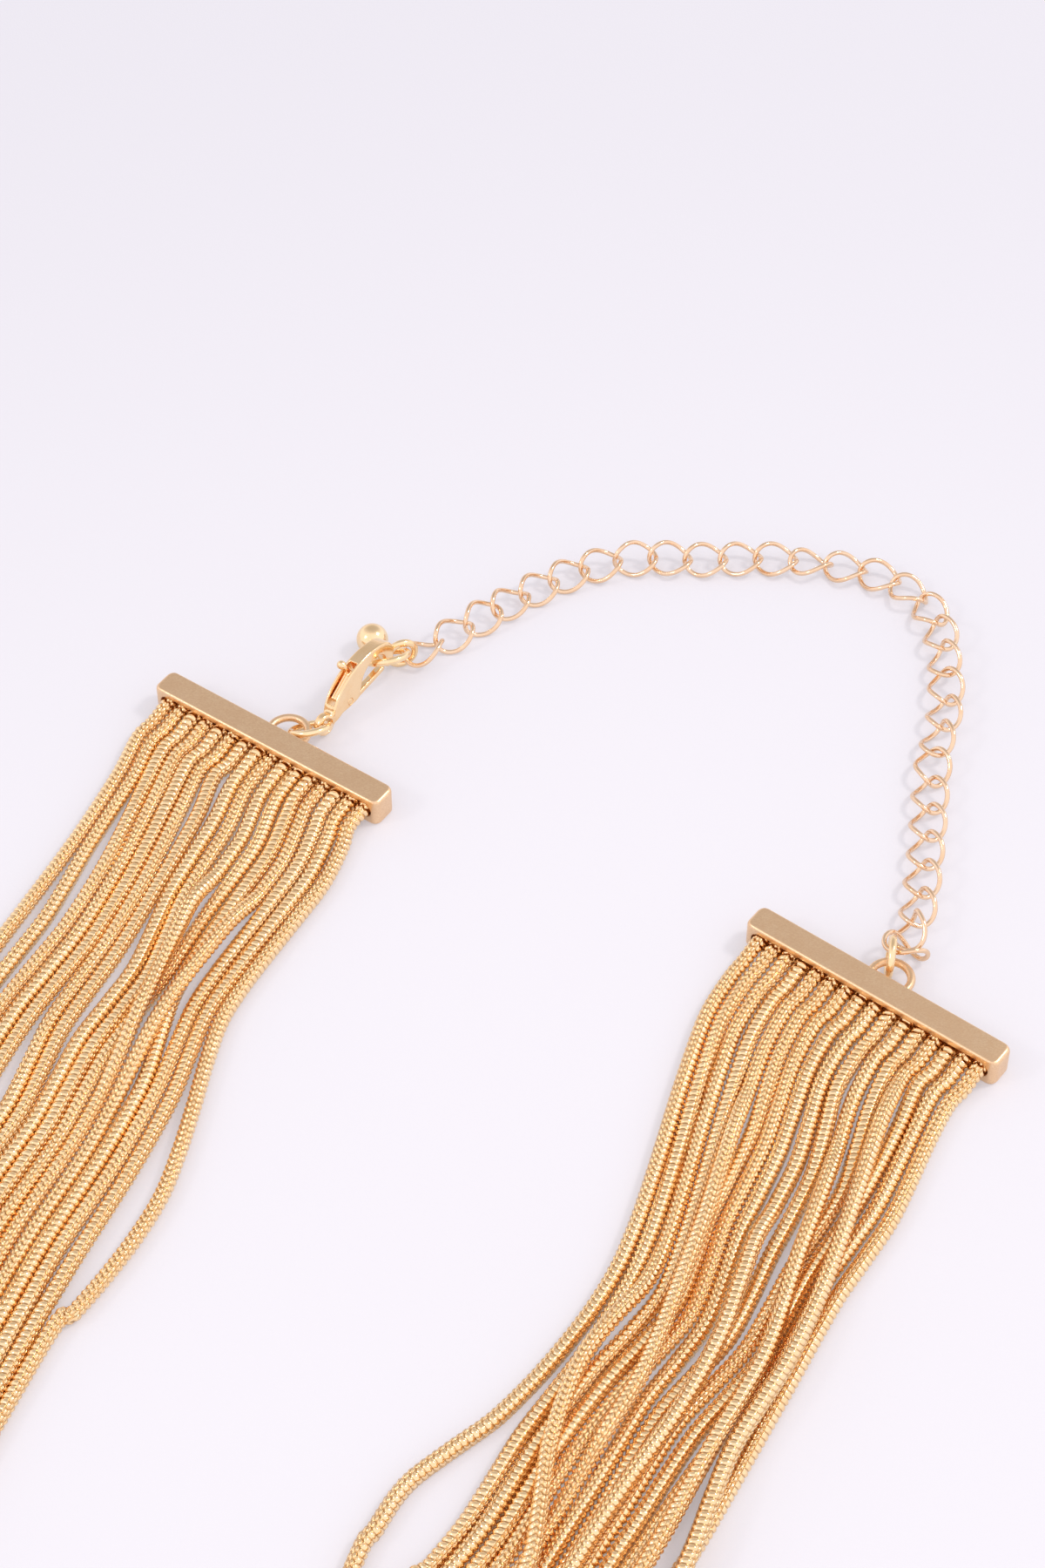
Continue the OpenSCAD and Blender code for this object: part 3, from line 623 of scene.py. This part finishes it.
def clasp_body_shell():
    """Outline as a plate that narrows towards its faces along the belly, joined to a neck and an eye at
    its tail, less the eye's hole, the lever's window and the pin's bore, all but the bore with the soft
    edges of a casting."""
    low, high, step = (-1.6, -2.0, -1.1), (12.3, 3.2, 1.1), 0.08
    x, y, z = field_grid(low, high, step)
    from_eye, from_pin = np.hypot(x, y), np.hypot(x - PIVOT[0], y - PIVOT[1])
    outline = catmull(CLASP_OUTLINE, steps=4, closed=True)
    neck_start, neck_end = (0.6, 0), (1.6, 0)
    flat = outline_field(outline, x[:, :, 0], y[:, :, 0])[:, :, None]
    belly = np.clip((1.2 - y) / 1.6, 0, 1)
    narrowed = 0.3 * belly * np.clip(np.abs(z) - 0.2, 0, 1)
    plate = slab(flat + narrowed, z, CLASP_THICK, 0.26)
    neck = slab(segment_field(x, y, neck_start, neck_end) - NECK_HALF, z, NECK_THICK, 0.4)
    body = soft_min(soft_min(plate, neck, 0.25), slab(from_eye - EYE_R, z, EYE_THICK, 0.5), 0.2)
    body = soft_max(body, EYE_HOLE - from_eye, 0.2)
    window = np.maximum(np.abs(z) - LEVER_THICK / 2 - WINDOW_PLAY, np.abs(x - WINDOW_X) - WINDOW_HALF)
    body = np.maximum(soft_max(body, -window, 0.14), BODY_BORE - from_pin)
    points, faces = surface_net(body, low, step)
    return at_clasp(points), faces, None


def lever_shell():
    """Sprung lever: a bent arm of round ended strips with lengthwise ribs, a knob, a heel and a gate,
    less a bore for the pin."""
    low, high, step = (2.0, -2.0, -1.1), (10.2, 4.4, 0.8), 0.07
    x, y, z = field_grid(low, high, step)
    from_pin = np.hypot(x - PIVOT[0], y - PIVOT[1])
    elbow, back, knob, heel, tip = (5.8, 2.1), (2.77, 1.22), (5.55, 3.6), (4.65, -0.95), (9.6, -1.4)
    knob_aside, knob_r, boss_r, stalk_wide = 0.4, 0.5, 0.75, 0.5
    rib_high, rib_pitch = 0.07, 0.34
    lever = 1e9
    for p, q, wide in ((PIVOT, elbow, 0.7), (back, elbow, 0.7), (PIVOT, back, 0.7), (PIVOT, heel, 0.8),
                       (heel, tip, 0.6)):
        lever = np.minimum(lever, slab(segment_field(x, y, p, q) - wide / 2, z, LEVER_THICK, 0.18))
    ribs = rib_high * (0.5 - 0.5 * np.cos(TAU * z / rib_pitch)) * np.clip((y - 0.2) / 0.4, 0, 1)
    stalk = slab(segment_field(x, y, elbow, knob) - stalk_wide / 2, z, LEVER_THICK / 2, 0.18)
    lever = np.minimum(soft_min(lever + ribs, stalk, 0.12), slab(from_pin - boss_r, z, LEVER_THICK, 0.12))
    ball = np.sqrt((x - knob[0])**2 + (y - knob[1])**2 + (z + knob_aside)**2) - knob_r
    lever = np.maximum(soft_min(lever, ball, 0.08), LEVER_BORE - from_pin)
    points, faces = surface_net(lever, low, step)
    return at_clasp(points), faces, None


def pin_shell():
    """Pin of radius 0.4 with domed ends, 1.7 long: a profile (radius, z) turned round the pivot."""
    r = np.array([0.08, 0.16, 0.29, 0.37, 0.4])
    z = np.array([0.85, 0.845, 0.83, 0.80, 0.74])
    r, z = np.concatenate([r, r[::-1]])[:, None], np.concatenate([-z, z[::-1]])[:, None]
    a = TAU * np.arange(PIN_SIDES) / PIN_SIDES
    points = np.stack([PIVOT[0] + r * np.cos(a), PIVOT[1] + r * np.sin(a), z + 0 * a], -1)
    return capped((at_clasp(points.reshape(-1, 3)), grid_faces(len(r), PIN_SIDES), None), PIN_SIDES)


# Materials

def add(tree, kind, props=None, inputs=None):
    """A node with its properties set, and each input given a value or linked from a socket."""
    n = tree.nodes.new(kind)
    for key, value in (props or {}).items():
        setattr(n, key, value)
    for key, value in (inputs or {}).items():
        if isinstance(value, bpy.types.NodeSocket):
            tree.links.new(value, n.inputs[key])
        else:
            n.inputs[key].default_value = value
    return n


def maths(tree, operation, *values):
    """Outcome of a sum on values and sockets."""
    return add(tree, "ShaderNodeMath", {"operation": operation}, dict(enumerate(values))).outputs[0]


def noise(tree, place, **inputs):
    """A cloudy value from 0 to 1 at a place."""
    return add(tree, "ShaderNodeTexNoise", None, {"Vector": place, **inputs}).outputs[0]


def blend_colour(tree, factor, a, b):
    """A colour from a to b as the factor goes from 0 to 1."""
    return add(tree, "ShaderNodeMix", {"data_type": "RGBA"}, {0: factor, 6: a, 7: b}).outputs[2]


def step_map(tree, value, low, high, to_low=0.0, to_high=1.0):
    """A smooth step from one value to another while the input goes from low to high."""
    n = add(tree, "ShaderNodeMapRange", {"interpolation_type": "SMOOTHSTEP"},
            {"Value": value, "From Min": low, "From Max": high, "To Min": to_low, "To Max": to_high})
    return n.outputs["Result"]


def off_half(tree, value):
    """Distance of a value's fraction from a half."""
    return maths(tree, "ABSOLUTE", maths(tree, "SUBTRACT", maths(tree, "FRACT", value), 0.5))


def bumped(tree, height, distance):
    """A normal tilted by a height, whose rise from 0 to 1 stands for a distance in metres."""
    return add(tree, "ShaderNodeBump", None,
               {"Height": height, "Distance": distance, "Strength": 1.0}).outputs["Normal"]


def place_on(tree):
    """Place on the piece in metres."""
    return tree.nodes.new("ShaderNodeTexCoord").outputs["Object"]


def group(name, vector_in, values_out):
    """A node group with one vector input and several value outputs, that input, and its output node."""
    tree = bpy.data.node_groups.new(name, "ShaderNodeTree")
    tree.interface.new_socket(vector_in, in_out="INPUT", socket_type="NodeSocketVector")
    for label in values_out:
        tree.interface.new_socket(label, in_out="OUTPUT", socket_type="NodeSocketFloat")
    start = tree.nodes.new("NodeGroupInput")
    return tree, start.outputs[vector_in], tree.nodes.new("NodeGroupOutput")


def use(tree, made, vector):
    """Outputs of a node group placed in a material."""
    return add(tree, "ShaderNodeGroup", {"node_tree": made}, {0: vector}).outputs


def plate_mottle():
    """Cloudy tone, fine pits and smears of gold plate, from a place on the piece."""
    tree, place, end = group("plate_mottle", "Place", ["Tone", "Pits", "Smears"])
    marks = {
        "Tone": noise(tree, place, Scale=420.0, Detail=3.0, Roughness=0.6),
        "Pits": noise(tree, place, Scale=5200.0, Detail=2.0, Roughness=0.5),
        "Smears": noise(tree, place, Scale=1500.0, Detail=4.0, Roughness=0.65, Distortion=0.8),
    }
    for label, value in marks.items():
        tree.links.new(value, end.inputs[label])
    return tree


def chain_marks():
    """Seams of a snake chain, the hollows round their beads, and the grooves between smooth ribs, from
    the surface's own coordinates: v counts ribs, and u goes from 0 to 1 round the strand."""
    tree, surface, end = group("chain_marks", "Surface", ["Seam", "Hollow", "Groove"])
    uv = add(tree, "ShaderNodeSeparateXYZ", None, {0: surface}).outputs
    half_turn = maths(tree, "FRACT", maths(tree, "MULTIPLY", uv["X"], 2.0))
    column = maths(tree, "MULTIPLY", half_turn, float(HALF_SIDES))
    seam = maths(tree, "MULTIPLY", step_map(tree, column, 3.2, 3.7), step_map(tree, column, 6.9, 6.5))
    off_rib = off_half(tree, uv["Y"])
    between_ribs = step_map(tree, off_rib, 0.26, 0.46)
    between_columns = step_map(tree, off_half(tree, column), 0.28, 0.0)
    # Hollow and Groove mask where the snake plate paints shade; Hollow also sinks its bump
    hollow = maths(tree, "MULTIPLY", seam, maths(tree, "MAXIMUM", between_ribs, between_columns))
    groove = maths(tree, "MULTIPLY", step_map(tree, off_rib, 0.34, 0.48), maths(tree, "SUBTRACT", 1.0, seam))
    for label, value in (("Seam", seam), ("Hollow", hollow), ("Groove", groove)):
        tree.links.new(value, end.inputs[label])
    return tree


MOTTLE = plate_mottle()
MARKS = chain_marks()
# Where the cloudy tone, and the smears, go from their least to their most
TONE_SPREAD = (0.35, 0.65)
SMEAR_SPREAD = (0.3, 0.7)


def metal(name, build):
    """A metal whose colour, roughness and normal a function builds in its node tree."""
    m = bpy.data.materials.new(name)
    m.use_nodes = True
    tree = m.node_tree
    tree.nodes.clear()
    colour, roughness, normal = build(tree)
    shader = add(tree, "ShaderNodeBsdfPrincipled", None,
                 {"Base Color": colour, "Metallic": 1.0, "Roughness": roughness, "Normal": normal})
    out = tree.nodes.new("ShaderNodeOutputMaterial")
    tree.links.new(shader.outputs[0], out.inputs["Surface"])
    return m


def satin_build(tree):
    """Satin plate, brushed along the bars: fine grain drawn out along its length over a cloudy tone."""
    deep, pale, brushed_brown = (0.88, 0.63, 0.40, 1), (0.93, 0.69, 0.45, 1), (0.80, 0.54, 0.32, 1)
    place = place_on(tree)
    mottle = use(tree, MOTTLE, place)
    brushed = add(tree, "ShaderNodeMapping", {"vector_type": "POINT"},
                  {"Vector": place, "Rotation": (0, 0, math.radians(36)), "Scale": (0.55, 1, 1)}).outputs[0]
    grain = noise(tree, brushed, Scale=7600.0, Detail=3.0, Roughness=0.7)
    colour = blend_colour(tree, step_map(tree, mottle["Tone"], *TONE_SPREAD), deep, pale)
    colour = blend_colour(tree, step_map(tree, grain, 0.3, 0.7), colour, brushed_brown)
    roughness = maths(tree, "ADD", step_map(tree, grain, 0.2, 0.8, 0.24, 0.36),
                      maths(tree, "MULTIPLY", mottle["Smears"], 0.08))
    height = maths(tree, "ADD", grain, maths(tree, "MULTIPLY", mottle["Pits"], 0.7))
    return colour, roughness, bumped(tree, height, 0.000004)


def snake_build(tree):
    """Polished plate of the snake chains, with painted shade in the hollows round the seam beads and in the
    grooves between ribs, and duller on the seams.
    """
    pale, deep = (0.99, 0.745, 0.44, 1), (0.97, 0.69, 0.38, 1)
    hollow_shade, groove_shade = (0.70, 0.38, 0.13, 1), (0.50, 0.25, 0.08, 1)
    marks = use(tree, MARKS, add(tree, "ShaderNodeUVMap", {"uv_map": "surface"}).outputs[0])
    mottle = use(tree, MOTTLE, place_on(tree))
    colour = blend_colour(tree, step_map(tree, mottle["Tone"], 0.3, 0.7), pale, deep)
    # Painted shade: the colour turns brown in the hollows round the seam beads and in the grooves between
    # ribs, where shade falls between the plates
    colour = blend_colour(tree, maths(tree, "MULTIPLY", marks["Hollow"], 0.8), colour, hollow_shade)
    colour = blend_colour(tree, maths(tree, "MULTIPLY", marks["Groove"], 0.85), colour, groove_shade)
    roughness = maths(tree, "ADD", maths(tree, "MULTIPLY", marks["Seam"], 0.06),
                      step_map(tree, mottle["Smears"], *SMEAR_SPREAD, 0.07, 0.13))
    height = maths(tree, "SUBTRACT", maths(tree, "MULTIPLY", mottle["Pits"], 0.08), marks["Hollow"])
    return colour, roughness, bumped(tree, height, 0.00005)


def polished(deep, pale, smooth, rough, dents, pits=0.0):
    """Builder of a polished plate: between two colours by the cloudy tone, with smears that change its
    roughness and dent it, and on castings with pits."""
    def build(tree):
        mottle = use(tree, MOTTLE, place_on(tree))
        colour = blend_colour(tree, step_map(tree, mottle["Tone"], *TONE_SPREAD), deep, pale)
        roughness = step_map(tree, mottle["Smears"], *SMEAR_SPREAD, smooth, rough)
        height = mottle["Smears"]
        if pits:
            height = maths(tree, "ADD", height, maths(tree, "MULTIPLY", mottle["Pits"], pits))
        return colour, roughness, bumped(tree, height, dents)
    return build


satin_gold = metal("satin_gold_plate", satin_build)
snake_gold = metal("polished_gold_snake_chain", snake_build)
wire_gold = metal("polished_pale_gold_wire",
                  polished((0.85, 0.60, 0.39, 1), (0.89, 0.66, 0.46, 1), 0.06, 0.14, 0.000012))
ring_gold = metal("polished_warm_gold_wire",
                  polished((0.95, 0.70, 0.40, 1), (0.97, 0.76, 0.48, 1), 0.11, 0.2, 0.00001))
cast_gold = metal("polished_gold_casting",
                  polished((0.94, 0.66, 0.37, 1), (0.96, 0.72, 0.44, 1), 0.09, 0.18, 0.000014, pits=0.35))


# Pieces

for k in range(1, STRANDS + 1):
    chain = mesh_piece("snake_chain_%02d" % k, snake_chain(k), snake_gold)
    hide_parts("strand_%02d" % k)

end_bar("left")
end_bar("right")

links = mesh_piece("twisted_links", extender_links(), wire_gold)
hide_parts("extender_chain")

for name, place in RINGS.items():
    ring = mesh_piece("jump_" + name, [ring_shell(place)], ring_gold)
    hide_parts(name)

ball_shells = ball_shell(BALL_MIDDLE, BALL_R) + [ring_shell(BALL_LOOP, LINK_STEPS, LINK_SIDES)]
ball = mesh_piece("ball_drop", ball_shells, ring_gold)
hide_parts("end_ball")

for name, shells, body, node in (("lobster_body", [clasp_body_shell()], "necklace", "clasp_body"),
                                 ("lobster_lever", [lever_shell()], "lever", "clasp_lever"),
                                 ("lobster_pin", pin_shell(), "necklace", "clasp_pin")):
    piece = mesh_piece(name, shells, cast_gold, body)
    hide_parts(node)


# Floor, light and camera, in metres

FLOOR_HALF = 4.0
# Paper: strength of its glow, painted light from paper that is no lamp, which makes the shade round the
# pieces faint, and the share of its colour that the light falls on
PAPER_GLOW, PAPER_SHARE = 0.36, 0.7
PAPER_PALE, PAPER_DEEP = (0.80, 0.79, 0.84, 1), (0.775, 0.765, 0.815, 1)
# Painted pool of light: its colour far out, in painted shade, the place where it is palest, and the
# distances from there over which it darkens
PAPER_FAR_SHADE = (0.71, 0.705, 0.76, 1)
PAPER_LIT_MIDDLE, PAPER_NEAR, PAPER_END = (0.01, -0.03, 0), 0.03, 0.24
SKY, DARK_SKY, SKY_STRENGTH = (1.06, 1.01, 1.04, 1), (0.57, 0.54, 0.545, 1), 1.1
# Softboxes: place, width, depth, watts
SOFTBOXES = {
    "right_softbox": ((0.48, 0.14, 0.60), 0.12, 0.12, 1.25),
    "left_softbox": ((-0.55, -0.15, 0.5), 0.11, 0.12, 0.5),
}
WARM_WHITE = (1.0, 0.95, 0.91)
# Camera: its height as an angle, distance from the target, focal length and film width in mm
ELEVATION = math.radians(48)
CAMERA_AWAY = 0.36
CAMERA_LENS, CAMERA_FILM = 77.8, 36


def paper():
    """Pale lavender paper with a painted pool of light, a little darker far out, with a fine tooth."""
    m = bpy.data.materials.new("pale_lavender_paper")
    m.use_nodes = True
    tree = m.node_tree
    shader = tree.nodes["Principled BSDF"]
    place = place_on(tree)
    away = add(tree, "ShaderNodeVectorMath", {"operation": "DISTANCE"},
               {0: place, 1: PAPER_LIT_MIDDLE}).outputs["Value"]
    colour = blend_colour(tree, noise(tree, place, Scale=9.0, Detail=2.0), PAPER_DEEP, PAPER_PALE)
    # Painted pool of light: the paper darkens towards its far colour away from the palest place
    colour = blend_colour(tree, step_map(tree, away, PAPER_NEAR, PAPER_END), colour, PAPER_FAR_SHADE)
    lit = add(tree, "ShaderNodeVectorMath", {"operation": "SCALE"},
              {0: colour, "Scale": PAPER_SHARE}).outputs[0]
    tooth = noise(tree, place, Scale=4000.0, Detail=2.0)
    tree.links.new(lit, shader.inputs["Base Color"])
    # Painted light: the paper glows in its own colour, which makes the shadows on it faint
    tree.links.new(colour, shader.inputs["Emission Color"])
    tree.links.new(bumped(tree, tooth, 0.00001), shader.inputs["Normal"])
    shader.inputs["Emission Strength"].default_value = PAPER_GLOW
    shader.inputs["Roughness"].default_value = 0.75
    return m


def soft_light(name, place, wide, deep, watts):
    """A rectangle of warm light that faces the middle of the choker."""
    lamp = bpy.data.lights.new(name, "AREA")
    lamp.shape = "RECTANGLE"
    lamp.size, lamp.size_y = wide, deep
    lamp.energy, lamp.color = watts, WARM_WHITE
    box = bpy.data.objects.new(name, lamp)
    box.location = place
    box.rotation_euler = (-Vector(place)).to_track_quat("-Z", "Y").to_euler()
    bpy.context.collection.objects.link(box)


floor_mesh = bpy.data.meshes.new("floor")
floor_corners = [(x * FLOOR_HALF, y * FLOOR_HALF, 0) for x, y in ((-1, -1), (1, -1), (1, 1), (-1, 1))]
floor_mesh.from_pydata(floor_corners, [], [(0, 1, 2, 3)])
floor_mesh.materials.append(paper())
floor = bpy.data.objects.new("floor", floor_mesh)
bpy.context.collection.objects.link(floor)

for name, (place, wide, deep, watts) in SOFTBOXES.items():
    soft_light(name, place, wide, deep, watts)

# The sky is darker where a level face mirrors it to the camera
world = bpy.data.worlds.new("studio")
bpy.context.scene.world = world
world.use_nodes = True
air = world.node_tree
background = air.nodes["Background"]
direction = air.nodes.new("ShaderNodeTexCoord").outputs["Generated"]
mirrored = (0, math.cos(ELEVATION), math.sin(ELEVATION))
toward = add(air, "ShaderNodeVectorMath", {"operation": "DOT_PRODUCT"},
             {0: direction, 1: mirrored}).outputs["Value"]
sky = blend_colour(air, step_map(air, toward, 0.55, 0.98), SKY, DARK_SKY)
air.links.new(sky, background.inputs["Color"])
background.inputs["Strength"].default_value = SKY_STRENGTH

# The camera looks at the table's own zero place
target = Vector(put((0, 0, 0)))
camera_data = bpy.data.cameras.new("camera")
camera_data.lens, camera_data.sensor_width = CAMERA_LENS, CAMERA_FILM
camera_data.sensor_fit = "AUTO"
camera_data.clip_start, camera_data.clip_end = 0.01, 20
camera = bpy.data.objects.new("camera", camera_data)
camera.location = target + CAMERA_AWAY * Vector((0, -math.cos(ELEVATION), math.sin(ELEVATION)))
camera.rotation_euler = (math.pi / 2 - ELEVATION, 0, 0)
bpy.context.collection.objects.link(camera)
bpy.context.scene.camera = camera
bpy.context.scene.view_settings.view_transform = "Standard"
# Light goes to and fro many times between gold strands that lie side by side
bpy.context.scene.cycles.glossy_bounces = 12
